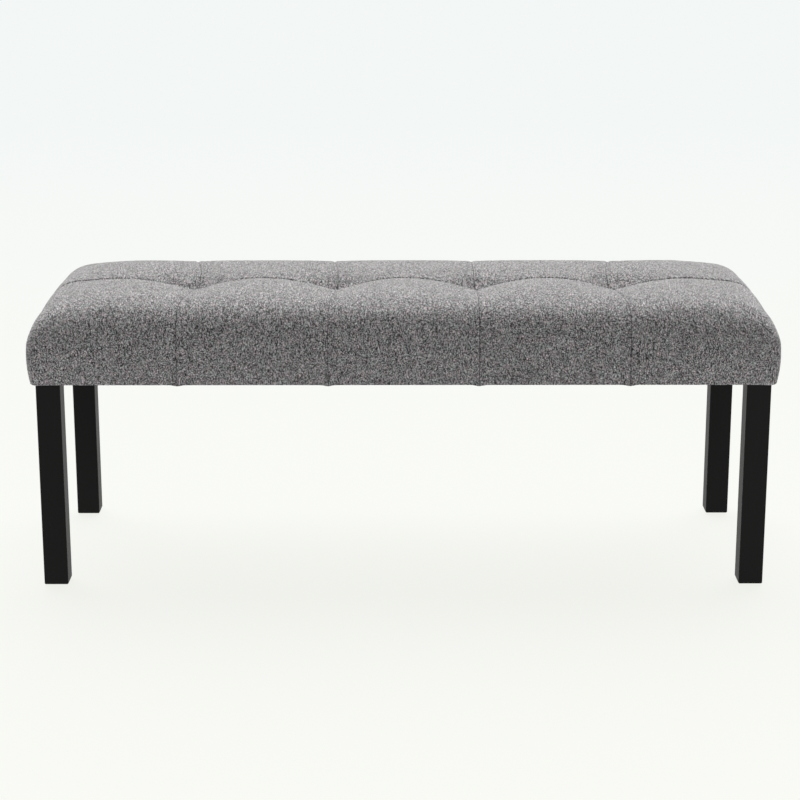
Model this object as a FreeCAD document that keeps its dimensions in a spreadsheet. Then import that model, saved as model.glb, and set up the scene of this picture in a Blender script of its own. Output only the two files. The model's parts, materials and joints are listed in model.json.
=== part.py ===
"""An upholstered bench: a box cushion of five tufted panels over a wooden frame, on four square legs.

Row frame: +X along the bench, +Y to its back, +Z up, origin on the floor under the middle. Millimetres.
"""

import FreeCAD
import Part
import math
import os

import Sketcher
from FreeCAD import Placement, Rotation, Vector

# Driving dimensions: alias, value, what it is
SIZES = [
    ("seat_length", 1168, "cushion, end to end at its fullest"),
    ("seat_depth", 406, "cushion, front to back at its fullest"),
    ("seat_underside", 333, "floor to the underside of the cushion"),
    ("panel_columns", 5, "sewn panels along the bench"),
    ("cover_thickness", 1.5, "woven cover cloth"),
    ("side_fullness", 4, "how far the sides swell past the hem"),
    ("fullness_height", 43, "hem up to the fullest line of the sides"),
    ("shoulder_lean", 1, "how far the sides lean in again below the shoulder"),
    ("shoulder_radius", 60, "roll from the sides to the top"),
    ("shoulder_sweep", 85, "degrees that the roll turns before the crown starts"),
    ("end_corner_radius", 16, "upright corners of the cushion, seen from above"),
    ("crown_rise", 6, "crown above the end of the shoulder"),
    ("crest_offset", 14, "centre seam to the crest between tufts"),
    ("tuft_reach", 76, "tuft to the crest in front of it"),
    ("centre_seam_depth", 8.5, "lengthwise seam below the crown between tufts"),
    ("tuft_depth", 30, "tufts below the crown"),
    ("cross_seam_depth", 8, "cross seams below the crown at the crest"),
    ("cross_seam_dip", 2, "cross seams drawn in on the front and back"),
    ("hem_past_leg", 1, "cover turned under past the inner faces of the legs"),
    ("wadding_edge", 3, "wadding beside the rails at the hem"),
    ("wadding_crown", 15, "wadding over the foam at the crest"),
    ("foam_thickness", 50, "foam slab"),
    ("foam_edge_radius", 40, "top edges of the foam"),
    ("foam_corner_radius", 55, "upright corners of the foam, seen from above"),
    ("foam_tuft_hole", 12, "bore through the foam at a tuft"),
    ("foam_tuft_mouth", 104, "width of the pressed-in cone at a tuft"),
    ("foam_tuft_cone", 18, "depth of that cone"),
    ("deck_thickness", 12, "plywood deck"),
    ("deck_tuft_hole", 8, "bore through the deck at a tuft"),
    ("rail_height", 50, "rails of the frame"),
    ("rail_thickness", 12, "rails of the frame"),
    ("frame_corner_radius", 8, "rounded upright corners of the frame"),
    ("cross_rail_width", 40, "cross rails under the deck"),
    ("cross_rail_height", 20, "cross rails under the deck"),
    ("corner_block_side", 46, "corner blocks, plan"),
    ("corner_block_height", 35, "corner blocks"),
    ("corner_block_chamfer", 10, "inner upright edge of the corner blocks"),
    ("leg_side", 38, "square leg"),
    ("leg_inset", 13, "cushion's fullest line to the leg's outer faces"),
    ("leg_edge_radius", 2, "softened long edges of the legs"),
    ("leg_foot_chamfer", 1.5, "bevel round the foot"),
    ("bolt_diameter", 8, "hanger bolt"),
    ("bolt_in_leg", 45, "hanger bolt, depth in the leg"),
    ("bolt_past_nut", 4, "hanger bolt past the T-nut"),
    ("bolt_clearance", 1, "radial room round the bolt in the cloth"),
    ("nut_barrel_diameter", 10, "T-nut barrel"),
    ("nut_barrel_length", 9, "T-nut barrel"),
    ("nut_flange_diameter", 18, "T-nut flange"),
    ("nut_flange_thickness", 1.5, "T-nut flange"),
    ("glide_diameter", 24, "nail-on glide against the leg"),
    ("glide_foot_diameter", 20, "flat of the glide on the floor"),
    ("glide_height", 2.5, "nail-on glide"),
    ("glide_nail_diameter", 2.5, "nail of the glide"),
    ("glide_nail_length", 14, "nail of the glide"),
    ("screw_diameter", 4, "wood screws"),
    ("screw_head_diameter", 8, "countersunk heads"),
    ("screw_head_height", 3, "countersunk heads"),
    ("frame_screw_length", 32, "rail into corner block"),
    ("frame_screw_offset", 22, "leg axis to the screws of its corner block"),
    ("frame_screw_height", 17, "rail's lower edge to the screws"),
    ("twine_diameter", 2.5, "tufting twine"),
    ("twine_clearance", 0.5, "radial room round the twine in the wadding"),
    ("knot_diameter", 7, "knot under the washer"),
    ("knot_height", 5, "knot under the washer"),
    ("washer_diameter", 25, "washer that the tuft pulls on"),
    ("washer_thickness", 2, "washer that the tuft pulls on"),
    ("dust_cover_thickness", 0.6, "black felted sheet under the seat"),
    ("dust_cover_margin", 10, "frame's outer face to the sheet's edge"),
    ("dust_cover_room", 1.5, "gap between the sheet and a leg"),
]

# Quilting along a panel: share of the pitch away from a cross seam, and how much of the seam's pull is left
PULL = ((0.0, 1.0), (0.13, 0.6), (0.28, 0.2), (0.5, 0.0))
# Turns of the end's roll, in degrees from its fullest line, at which an outline is drawn
END_TURNS = (58, 36, 18, 5)
CORNERS = {"front_left": (-1, -1), "front_right": (1, -1), "rear_left": (-1, 1), "rear_right": (1, 1)}

doc = FreeCAD.newDocument("bench")
sizes = doc.addObject("Spreadsheet::Sheet", "Sizes")
nodes = []


def fill_sheet():
    for row, (alias, number, note) in enumerate(SIZES, start=1):
        sizes.set(f"A{row}", alias)
        sizes.set(f"B{row}", str(number))
        sizes.set(f"C{row}", note)
        sizes.setAlias(f"B{row}", alias)
    doc.recompute()


def size(alias):
    return float(sizes.get(alias))


def cells(formula):
    """The formula with each size's alias pointing at its cell."""
    words = formula.replace("(", " ( ").replace(")", " ) ").split()
    known = {alias for alias, _, _ in SIZES}
    return " ".join(f"Sizes.{word}" if word in known else word for word in words)


def value(formula):
    """The number that a formula of sizes gives."""
    words = formula.replace("(", " ( ").replace(")", " ) ").split()
    known = {alias for alias, _, _ in SIZES}
    names = {word: size(word) for word in words if word in known}
    total = sizes.evalExpression(" ".join(str(names.get(word, word)) for word in words))
    return float(getattr(total, "Value", total))


# Levels and places that several sub-parts share, as formulas of the sizes
PITCH = "( seat_length / panel_columns )"
RAIL_BOTTOM = "( seat_underside + cover_thickness )"
RAIL_TOP = f"( {RAIL_BOTTOM} + rail_height )"
DECK_TOP = f"( {RAIL_TOP} + deck_thickness )"
FOAM_TOP = f"( {DECK_TOP} + foam_thickness )"
CROWN = f"( {FOAM_TOP} + wadding_crown + cover_thickness )"
TUFT_BOTTOM = f"( {CROWN} - tuft_depth - cover_thickness )"
SIDE_LAYERS = "( side_fullness + cover_thickness + wadding_edge )"
FRAME_LENGTH = f"( seat_length - 2 * {SIDE_LAYERS} )"
FRAME_DEPTH = f"( seat_depth - 2 * {SIDE_LAYERS} )"
INNER_DEPTH = f"( {FRAME_DEPTH} - 2 * rail_thickness )"
LEG_X = "( seat_length / 2 - leg_inset - leg_side / 2 )"
LEG_Y = "( seat_depth / 2 - leg_inset - leg_side / 2 )"
HEM_WIDTH = "( leg_inset + leg_side + hem_past_leg )"
BLOCK_X = f"( {FRAME_LENGTH} / 2 - rail_thickness - corner_block_side / 2 )"
BLOCK_Y = f"( {FRAME_DEPTH} / 2 - rail_thickness - corner_block_side / 2 )"
BLOCK_TOP = f"( {RAIL_BOTTOM} + corner_block_height )"


def bind(thing, prop, formula):
    thing.setExpression(prop, cells(formula))


def place(thing, x="0", y="0", z="0"):
    for axis, formula in zip("xyz", (x, y, z)):
        bind(thing, f"Placement.Base.{axis}", formula)
    return thing


def node(thing, name):
    """The thing becomes a sub-part of this name."""
    thing.Label = name
    nodes.append(thing)
    return thing


def plane_of(body, role):
    return next(f for f in body.Origin.OriginFeatures if f.Role == role)


def sketch_on(body, name, x="0", y="0", z="0"):
    """A sketch level with the body's ground plane, its origin moved by x, y and z."""
    sketch = body.newObject("Sketcher::SketchObject", name)
    sketch.AttachmentSupport = [(plane_of(body, "XY_Plane"), "")]
    sketch.MapMode = "FlatFace"
    for axis, formula in zip("xyz", (x, y, z)):
        bind(sketch, f"AttachmentOffset.Base.{axis}", formula)
    return sketch


def limit(sketch, name, constraint, formula):
    index = sketch.addConstraint(constraint)
    sketch.renameConstraint(index, name)
    bind(sketch, f"Constraints.{name}", formula)


def add_rectangle(sketch, width, height):
    """A rectangle centred on the sketch's origin."""
    a, b = value(width) / 2, value(height) / 2
    corners = [Vector(-a, -b, 0), Vector(a, -b, 0), Vector(a, b, 0), Vector(-a, b, 0)]
    for start, end in zip(corners, corners[1:] + corners[:1]):
        sketch.addGeometry(Part.LineSegment(start, end))
    for i, kind in enumerate(("Horizontal", "Vertical", "Horizontal", "Vertical")):
        sketch.addConstraint(Sketcher.Constraint("Coincident", i, 2, (i + 1) % 4, 1))
        sketch.addConstraint(Sketcher.Constraint(kind, i))
    sketch.addConstraint(Sketcher.Constraint("Symmetric", 0, 1, 2, 1, -1, 1))
    limit(sketch, "width", Sketcher.Constraint("DistanceX", 0, 1, 0, 2, 2 * a), width)
    limit(sketch, "height", Sketcher.Constraint("DistanceY", 1, 1, 1, 2, 2 * b), height)


def add_circle(sketch, diameter):
    """A circle centred on the sketch's origin."""
    radius = value(diameter) / 2
    sketch.addGeometry(Part.Circle(Vector(), Vector(0, 0, 1), radius))
    sketch.addConstraint(Sketcher.Constraint("Coincident", 0, 3, -1, 1))
    limit(sketch, "diameter", Sketcher.Constraint("Diameter", 0, 2 * radius), diameter)


def block(name, width, depth, height):
    """A body holding one upright block, centred on its origin in plan and standing on it."""
    body = doc.addObject("PartDesign::Body", name)
    sketch = sketch_on(body, "Outline")
    add_rectangle(sketch, width, depth)
    pad = body.newObject("PartDesign::Pad", "Pad")
    pad.Profile = sketch
    bind(pad, "Length", height)
    doc.recompute()
    return body, pad


def bore(body, diameter, depth, x="0", y="0", z="0", upwards=False):
    """A round pocket from the level z down, or up, into the body; it has to remove something."""
    before = body.Shape.Volume
    sketch = sketch_on(body, "Bore", x, y, z)
    add_circle(sketch, diameter)
    pocket = body.newObject("PartDesign::Pocket", "Pocket")
    pocket.Profile = sketch
    pocket.Reversed = upwards
    bind(pocket, "Length", depth)
    doc.recompute()
    if body.Shape.Volume >= before:
        raise RuntimeError(f"{body.Name}: {pocket.Name} cuts nothing")
    return pocket


def row_of(body, feature, occurrences, spacing):
    """Repeats a feature along the bench, starting from where it is."""
    pattern = body.newObject("PartDesign::LinearPattern", "Row")
    pattern.Originals = [feature]
    pattern.Direction = (plane_of(body, "X_Axis"), [""])
    pattern.Mode = "Spacing"
    bind(pattern, "Offset", spacing)
    bind(pattern, "Occurrences", occurrences)
    body.Tip = pattern
    doc.recompute()
    return pattern


def dress(body, kind, base, chosen, formula):
    """A Fillet or Chamfer on the edges of the base that a test picks."""
    feature = body.newObject(f"PartDesign::{kind}", kind)
    feature.Base = (base, [f"Edge{i}" for i, edge in enumerate(base.Shape.Edges, start=1) if chosen(edge)])
    bind(feature, "Radius" if kind == "Fillet" else "Size", formula)
    doc.recompute()
    return feature


def upright_at(x_sign=0, y_sign=0):
    """Picks upright edges on the given sides of the origin, 0 meaning both sides."""

    def chosen(edge):
        start, end = edge.Vertexes[0].Point, edge.Vertexes[-1].Point
        upright = math.hypot(start.x - end.x, start.y - end.y) < 1e-6
        return upright and start.x * x_sign >= 0 and start.y * y_sign >= 0

    return chosen


def level_at(z):
    return lambda edge: all(abs(v.Point.z - z) < 1e-6 for v in edge.Vertexes)


def cylinder(diameter, height, x="0", y="0", z="0"):
    thing = doc.addObject("Part::Cylinder", "Cylinder")
    bind(thing, "Radius", f"{diameter} / 2")
    bind(thing, "Height", height)
    return place(thing, x, y, z)


def cone(lower, upper, height, x="0", y="0", z="0"):
    thing = doc.addObject("Part::Cone", "Cone")
    bind(thing, "Radius1", f"{lower} / 2")
    bind(thing, "Radius2", f"{upper} / 2")
    bind(thing, "Height", height)
    return place(thing, x, y, z)


def box(width, depth, height, x="0", y="0", z="0"):
    """A box centred on x and y, standing on z."""
    thing = doc.addObject("Part::Box", "Box")
    for prop, formula in (("Length", width), ("Width", depth), ("Height", height)):
        bind(thing, prop, formula)
    return place(thing, f"{x} - {width} / 2", f"{y} - {depth} / 2", z)


def fuse(*things):
    joined = doc.addObject("Part::MultiFuse", "Fuse")
    joined.Shapes = list(things)
    return joined


def together(things):
    """Separate solids as one object."""
    compound = doc.addObject("Part::Compound", "Group")
    compound.Links = list(things)
    return compound


def cut(base, tool):
    thing = doc.addObject("Part::Cut", "Cut")
    thing.Base = base
    thing.Tool = tool
    return thing


def signed(sign, formula):
    """The formula, or its negative."""
    return f"( {sign} * {formula} )"


def seam_places():
    """Places of the cross seams along the bench, as formulas."""
    count = round(size("panel_columns")) - 1
    return [signed(i - (count - 1) / 2, PITCH) for i in range(count)]


def cross_rail_places():
    """Places of the cross rails: under the middle of every panel but the end ones."""
    count = round(size("panel_columns")) - 2
    return [signed(i - (count - 1) / 2, PITCH) for i in range(count)]


# Fasteners


def screw(length, x, y, z, axis=Vector(1, 0, 0), turn=0):
    """A countersunk screw pointing down from its head's face at x, y and z, or turned about an axis."""
    head = cone("screw_diameter", "screw_head_diameter", "screw_head_height", z="-1 * screw_head_height")
    shank = cylinder("screw_diameter", length, z=f"-1 * {length}")
    whole = fuse(head, shank)
    whole.Placement = Placement(Vector(), Rotation(axis, turn))
    return place(whole, x, y, z)


def frame_screws():
    """A screw through each rail into each corner block."""
    screws = []
    across, along = Vector(1, 0, 0), Vector(0, 1, 0)
    z = f"( {RAIL_BOTTOM} + frame_screw_height )"
    for x_sign, y_sign in CORNERS.values():
        x = signed(x_sign, f"( {LEG_X} - frame_screw_offset )")
        y = signed(y_sign, f"( {FRAME_DEPTH} / 2 )")
        screws.append(screw("frame_screw_length", x, y, z, across, -90 * y_sign))
        x = signed(x_sign, f"( {FRAME_LENGTH} / 2 )")
        y = signed(y_sign, f"( {LEG_Y} - frame_screw_offset )")
        screws.append(screw("frame_screw_length", x, y, z, along, 90 * x_sign))
    return node(together(screws), "frame_screws")


def hanger_bolts():
    length = f"( bolt_in_leg + {BLOCK_TOP} - seat_underside + nut_flange_thickness + bolt_past_nut )"
    bolts = []
    for x_sign, y_sign in CORNERS.values():
        x, y = signed(x_sign, LEG_X), signed(y_sign, LEG_Y)
        bolts.append(cylinder("bolt_diameter", length, x, y, "seat_underside - bolt_in_leg"))
    return node(together(bolts), "hanger_bolts")


def t_nuts():
    """A flanged nut pressed into the top of each corner block."""
    nuts = []
    for x_sign, y_sign in CORNERS.values():
        x, y = signed(x_sign, LEG_X), signed(y_sign, LEG_Y)
        barrel_z = f"( {BLOCK_TOP} - nut_barrel_length )"
        whole_height = "( nut_barrel_length + nut_flange_thickness )"
        flange = cylinder("nut_flange_diameter", "nut_flange_thickness", x, y, BLOCK_TOP)
        barrel = cylinder("nut_barrel_diameter", whole_height, x, y, barrel_z)
        thread = cylinder("bolt_diameter", whole_height, x, y, barrel_z)
        nuts.append(cut(fuse(flange, barrel), thread))
    return node(together(nuts), "t_nuts")


# Frame


def long_rail(name, side, screws):
    """A rail along the bench, its two outer corners rounded. side is -1 at the front and 1 at the back."""
    body, pad = block(f"Blank_{name}", FRAME_LENGTH, "rail_thickness", "rail_height")
    dress(body, "Fillet", pad, upright_at(y_sign=side), "frame_corner_radius")
    y = signed(side, f"( {FRAME_DEPTH} / 2 - rail_thickness / 2 )")
    place(body, y=y, z=RAIL_BOTTOM)
    node(cut(body, screws), name)


def end_rail(name, side, screws):
    """A rail across the bench, butted between the long ones."""
    body, _ = block(f"Blank_{name}", "rail_thickness", INNER_DEPTH, "rail_height")
    x = signed(side, f"( {FRAME_LENGTH} / 2 - rail_thickness / 2 )")
    place(body, x=x, z=RAIL_BOTTOM)
    node(cut(body, screws), name)


def cross_rail(name, x):
    body, _ = block(f"Blank_{name}", "cross_rail_width", INNER_DEPTH, "cross_rail_height")
    place(body, x=x, z=f"{RAIL_TOP} - cross_rail_height")
    node(body, name)


def corner_block(corner, screws):
    """A block in a corner of the frame, bored for the T-nut on the leg's axis, its inner edge taken off."""
    x_sign, y_sign = CORNERS[corner]
    body, pad = block(f"Block_{corner}", "corner_block_side", "corner_block_side", "corner_block_height")
    dress(body, "Chamfer", pad, upright_at(-x_sign, -y_sign), "corner_block_chamfer")
    x = signed(x_sign, f"( {LEG_X} - {BLOCK_X} )")
    y = signed(y_sign, f"( {LEG_Y} - {BLOCK_Y} )")
    bore(body, "nut_barrel_diameter", "corner_block_height", x, y, "corner_block_height")
    place(body, signed(x_sign, BLOCK_X), signed(y_sign, BLOCK_Y), RAIL_BOTTOM)
    node(cut(body, screws), f"corner_block_{corner}")


def seat_deck():
    """The plywood sheet on the rails, with a hole for each tuft's twine."""
    body, pad = block("Deck", FRAME_LENGTH, FRAME_DEPTH, "deck_thickness")
    dress(body, "Fillet", pad, upright_at(), "frame_corner_radius")
    first = bore(body, "deck_tuft_hole", "deck_thickness", x=seam_places()[0], z="deck_thickness")
    row_of(body, first, "panel_columns - 1", PITCH)
    place(body, z=RAIL_TOP)
    node(body, "seat_deck")


# Legs


def leg(corner):
    """A square leg with softened edges, bored for the hanger bolt above and the glide's nail below."""
    x_sign, y_sign = CORNERS[corner]
    height = "( seat_underside - glide_height )"
    body, pad = block(f"Leg_{corner}", "leg_side", "leg_side", height)
    softened = dress(body, "Fillet", pad, upright_at(), "leg_edge_radius")
    dress(body, "Chamfer", softened, level_at(0), "leg_foot_chamfer")
    bore(body, "bolt_diameter", "bolt_in_leg", z=height)
    bore(body, "glide_nail_diameter", "glide_nail_length", upwards=True)
    place(body, signed(x_sign, LEG_X), signed(y_sign, LEG_Y), "glide_height")
    node(body, f"leg_{corner}")


def glide(corner):
    """A domed plastic foot with its nail."""
    x_sign, y_sign = CORNERS[corner]
    x, y = signed(x_sign, LEG_X), signed(y_sign, LEG_Y)
    foot = cone("glide_foot_diameter", "glide_diameter", "glide_height", x, y)
    nail = cylinder("glide_nail_diameter", "( glide_height + glide_nail_length )", x, y)
    node(fuse(foot, nail), f"glide_{corner}")


# Cushion


def arc(a, b, c):
    return Part.Arc(a, b, c).toShape()


def outline(x, skin, pull=0.0, share=1.0, narrow=0.0, lean=0.0):
    """The cushion's outline across the bench at x, a closed wire, drawn in by skin.

    pull is 1 on a cross seam and 0 between them. share flattens what rises above the shoulder's start, narrow
    draws both sides in, and lean tips the outline about the shoulder, inwards at the hem.
    """
    sweep = math.radians(size("shoulder_sweep"))
    shoulder = shoulder_level()
    full = size("seat_depth") / 2 - skin - narrow - pull * size("cross_seam_dip")
    side = full - size("shoulder_lean")
    roll = size("shoulder_radius") - skin
    crown = value(CROWN) - skin - shoulder
    valley = size("centre_seam_depth") * (1 - pull) + size("tuft_depth") * pull
    reach = size("crest_offset") * (1 - pull) + size("tuft_reach") * pull
    rise = crown - pull * size("cross_seam_depth")
    drop = valley - pull * size("cross_seam_depth")
    turn = math.atan2(drop, reach)
    crest_radius = reach / math.sin(2 * turn)
    roll_end = (-side + roll * (1 - math.cos(sweep)), roll * math.sin(sweep))
    half = [
        (-side, 0),
        (-side + roll * (1 - math.cos(sweep / 2)), roll * math.sin(sweep / 2)),
        roll_end,
        ((roll_end[0] - reach) / 2, (roll_end[1] + 3 * rise) / 4),
        (-reach, rise),
        (-reach + crest_radius * math.sin(turn), rise - crest_radius * (1 - math.cos(turn))),
        (0, crown - valley),
    ]
    bottom = size("seat_underside") + skin
    upper = [(y, shoulder + share * z) for y, z in half]
    lower = [(size("side_fullness") - full, bottom), (-full, size("seat_underside") + size("fullness_height"))]
    front = lower + upper
    line = [Vector(x + lean * (z - shoulder), y, z) for y, z in front]
    line += [Vector(p.x, -p.y, p.z) for p in reversed(line[:-1])]
    edges = [arc(*line[i : i + 3]) for i in range(0, len(line) - 2, 2)]
    edges.append(Part.LineSegment(line[-1], line[0]).toShape())
    return Part.Wire(edges)


def shoulder_level():
    """Height at which the sides turn into the roll."""
    sweep = math.radians(size("shoulder_sweep"))
    return value(CROWN) - size("crown_rise") - size("shoulder_radius") * math.sin(sweep)


def half_panel(seam, side, skin):
    """Outlines from a cross seam to the middle of the panel on one side of it."""
    pitch = value(PITCH)
    return [outline(seam + side * at * pitch, skin, pull) for at, pull in PULL]


def end_outlines(skin):
    """Outlines from the middle of the right end panel to the end, past which the form is cut flat."""
    radius = size("shoulder_radius")
    sweep = size("shoulder_sweep")
    corner = size("end_corner_radius")
    end = size("seat_length") / 2
    crown = value(CROWN) - skin - shoulder_level()
    shoulder_share = (radius - skin) * math.sin(math.radians(sweep)) / crown
    tip = size("side_fullness") / (shoulder_level() - size("seat_underside"))
    middle = end - value(PITCH) / 2
    roll_start = end - radius + (radius - skin) * math.cos(math.radians(sweep))
    fade = 1 - (1 - shoulder_share) / 4
    outlines = [outline((middle + roll_start) / 2, skin, share=fade)]
    for degrees in (sweep,) + END_TURNS:
        turn = math.radians(degrees)
        x = end - radius + (radius - skin) * math.cos(turn)
        beyond = max(0.0, x - end + corner)
        narrow = corner - skin - math.sqrt((corner - skin) ** 2 - beyond**2)
        share = (radius - skin) * math.sin(turn) / crown
        outlines.append(outline(x, skin, share=share, narrow=narrow, lean=tip * (1 - math.sin(turn))))
    return outlines


def column_outlines(column, skin):
    """Outlines of one column of panels, counted from the left; the end ones run out to the cushion's end."""
    count = round(size("panel_columns"))
    pitch = value(PITCH)
    left = (column - count / 2) * pitch
    if column == count - 1:
        return half_panel(left, 1, skin) + end_outlines(skin)
    return half_panel(left, 1, skin) + half_panel(left + pitch, -1, skin)[-2::-1]


def column_form(column, skin):
    """The filled cushion under one column of panels, drawn in by skin."""
    if column == 0:
        last = round(size("panel_columns")) - 1
        return column_form(last, skin).mirror(Vector(), Vector(1, 0, 0))
    return Part.makeLoft(column_outlines(column, skin), True, True)


def cover_panels():
    """The sewn panels: a front and a rear one in each column, with their turned-under hems."""
    skin = size("cover_thickness")
    length, depth = size("seat_length"), size("seat_depth")
    hem = value(HEM_WIDTH)
    opening_corner = Vector(hem - length / 2, hem - depth / 2, size("seat_underside"))
    opening = Part.makeBox(length - 2 * hem, depth - 2 * hem, skin, opening_corner)
    bolt_holes = []
    for x_sign, y_sign in CORNERS.values():
        at = Vector(x_sign * value(LEG_X), y_sign * value(LEG_Y), size("seat_underside"))
        bolt_holes.append(Part.makeCylinder(size("bolt_diameter") / 2 + size("bolt_clearance"), skin, at))
    halves = {"front": Vector(-length, -2 * depth, 0), "rear": Vector(-length, 0, 0)}
    for column in range(round(size("panel_columns"))):
        shell = column_form(column, 0).cut(column_form(column, skin)).cut([opening] + bolt_holes)
        for row, corner in halves.items():
            half = Part.makeBox(2 * length, 2 * depth, 2 * value(CROWN), corner)
            piece = doc.addObject("Part::Feature", "Panel")
            piece.Shape = shell.common(half).Solids[0]
            node(piece, f"{row}_panel_{column + 1}")


def foam_and_wadding():
    """The foam slab, coned at the tufts, and the wadding that fills up to the cover."""
    blank, pad = block("Foam", FRAME_LENGTH, FRAME_DEPTH, "foam_thickness")
    rounded = dress(blank, "Fillet", pad, upright_at(), "foam_corner_radius")
    dress(blank, "Fillet", rounded, level_at(value("foam_thickness")), "foam_edge_radius")
    place(blank, z=DECK_TOP)
    cones = []
    for x in seam_places():
        cone_z = f"( {FOAM_TOP} - foam_tuft_cone )"
        cones.append(cone("foam_tuft_hole", "foam_tuft_mouth", "foam_tuft_cone", x, z=cone_z))
    coned = cut(blank, together(cones))
    bores = [cylinder("foam_tuft_hole", "foam_thickness", x, z=DECK_TOP) for x in seam_places()]
    node(cut(coned, together(bores)), "seat_foam")

    skin = size("cover_thickness")
    inside = doc.addObject("Part::Feature", "InsideOfCover")
    columns = range(round(size("panel_columns")))
    last = columns[-1]
    right = column_outlines(last, skin)
    left = [wire.mirror(Vector(), Vector(1, 0, 0)) for wire in reversed(right)]
    wires = left[:-1]
    for column in columns[1:-1]:
        wires += column_outlines(column, skin)[:-1]
    inside.Shape = Part.makeLoft(wires + right, True, True)
    frame_height = "( rail_height + deck_thickness )"
    frame, frame_pad = block("FrameSpace", FRAME_LENGTH, FRAME_DEPTH, frame_height)
    dress(frame, "Fillet", frame_pad, upright_at(), "frame_corner_radius")
    place(frame, z=RAIL_BOTTOM)
    twine_room = "( twine_diameter + 2 * twine_clearance )"
    holes = [cylinder(twine_room, CROWN, x) for x in seam_places()]
    node(cut(cut(cut(inside, frame), coned), together(holes)), "wadding")


def tufts():
    """Twine from under the cover at each tuft down through the deck, knotted below a washer."""
    twines, washers = [], []
    washer_z = f"( {RAIL_TOP} - washer_thickness )"
    knot_z = f"( {washer_z} - knot_height )"
    for x in seam_places():
        stem = cylinder("twine_diameter", f"( {TUFT_BOTTOM} - {knot_z} )", x, z=knot_z)
        twines.append(fuse(stem, cylinder("knot_diameter", "knot_height", x, z=knot_z)))
        disc = cylinder("washer_diameter", "washer_thickness", x, z=washer_z)
        hole = cylinder("twine_diameter", "washer_thickness", x, z=washer_z)
        washers.append(cut(disc, hole))
    node(together(twines), "tuft_twines")
    node(together(washers), "tuft_washers")


def dust_cover():
    """The black sheet that closes the seat from below, cut out round the legs."""
    level = "( seat_underside - dust_cover_thickness )"
    length = f"( {FRAME_LENGTH} - 2 * dust_cover_margin )"
    depth = f"( {FRAME_DEPTH} - 2 * dust_cover_margin )"
    sheet = box(length, depth, "dust_cover_thickness", z=level)
    notch_side = "( leg_side + 2 * ( leg_inset + dust_cover_room ) )"
    notches = []
    for x_sign, y_sign in CORNERS.values():
        x = signed(x_sign, f"( {LEG_X} + leg_inset )")
        y = signed(y_sign, f"( {LEG_Y} + leg_inset )")
        notches.append(box(notch_side, notch_side, "dust_cover_thickness", x, y, level))
    node(cut(sheet, together(notches)), "dust_cover")


def build():
    fill_sheet()
    hanger_bolts()
    t_nuts()
    screws = frame_screws()
    long_rail("front_rail", -1, screws)
    long_rail("rear_rail", 1, screws)
    end_rail("left_end_rail", -1, screws)
    end_rail("right_end_rail", 1, screws)
    for number, x in enumerate(cross_rail_places(), start=1):
        cross_rail(f"cross_rail_{number}", x)
    for corner in CORNERS:
        corner_block(corner, screws)
        leg(corner)
        glide(corner)
    seat_deck()
    foam_and_wadding()
    tufts()
    cover_panels()
    dust_cover()
    doc.recompute()


def check():
    """Stops on a failed object or a bad shape."""
    for thing in doc.Objects:
        if {"Invalid", "Error"} & set(thing.State):
            raise RuntimeError(f"{thing.Name} ({thing.Label}) failed: {thing.State}")
    for thing in nodes:
        if thing.Shape.isNull() or not thing.Shape.isValid() or not thing.Shape.Solids:
            raise RuntimeError(f"{thing.Label} has no valid solid")


def write():
    os.makedirs("parts", exist_ok=True)
    for thing in nodes:
        thing.Shape.exportStep(f"parts/{thing.Label}.step")


build()
check()
write()
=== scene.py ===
"""The looks of an upholstered bench: padded cushion, woven cover, black legs and what is under the seat.

All sizes are metres in the frame of the CAD: +X along the bench, +Y to its back and +Z up, with the origin
on the floor under the middle of the seat.
"""

import json
import math

import bmesh
import bpy
import numpy as np
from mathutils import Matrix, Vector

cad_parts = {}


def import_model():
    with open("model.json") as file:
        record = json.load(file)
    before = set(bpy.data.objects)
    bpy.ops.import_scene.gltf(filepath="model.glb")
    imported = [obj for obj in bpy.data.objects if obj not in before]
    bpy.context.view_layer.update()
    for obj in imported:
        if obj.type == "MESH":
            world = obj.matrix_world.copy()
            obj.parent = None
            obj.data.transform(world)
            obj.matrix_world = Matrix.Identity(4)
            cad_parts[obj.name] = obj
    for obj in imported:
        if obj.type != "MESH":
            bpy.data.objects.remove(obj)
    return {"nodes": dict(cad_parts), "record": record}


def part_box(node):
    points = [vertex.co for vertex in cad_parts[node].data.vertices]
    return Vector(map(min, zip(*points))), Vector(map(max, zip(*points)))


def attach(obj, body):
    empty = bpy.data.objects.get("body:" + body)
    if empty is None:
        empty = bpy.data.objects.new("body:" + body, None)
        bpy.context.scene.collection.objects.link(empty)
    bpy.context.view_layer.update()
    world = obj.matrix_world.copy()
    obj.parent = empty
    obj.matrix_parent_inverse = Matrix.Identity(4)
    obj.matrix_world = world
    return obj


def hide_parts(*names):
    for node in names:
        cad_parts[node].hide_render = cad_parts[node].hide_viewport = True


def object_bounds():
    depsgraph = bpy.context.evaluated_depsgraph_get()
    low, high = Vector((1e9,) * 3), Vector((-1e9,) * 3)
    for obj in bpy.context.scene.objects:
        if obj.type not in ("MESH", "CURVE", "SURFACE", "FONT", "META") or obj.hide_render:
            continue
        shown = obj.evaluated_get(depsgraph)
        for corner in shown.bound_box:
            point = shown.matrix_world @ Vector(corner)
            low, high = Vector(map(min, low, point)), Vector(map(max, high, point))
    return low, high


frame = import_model()
cad_low, cad_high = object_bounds()

# Places read from the frame
LENGTH = cad_high.x - cad_low.x
DEPTH = cad_high.y - cad_low.y
CROWN = cad_high.z
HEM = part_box("front_panel_1")[0].z
COLUMNS = sum(name.startswith("front_panel_") for name in frame["nodes"])
PITCH = LENGTH / COLUMNS
SEAMS = [(number - COLUMNS / 2) * PITCH for number in range(1, COLUMNS)]

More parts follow.
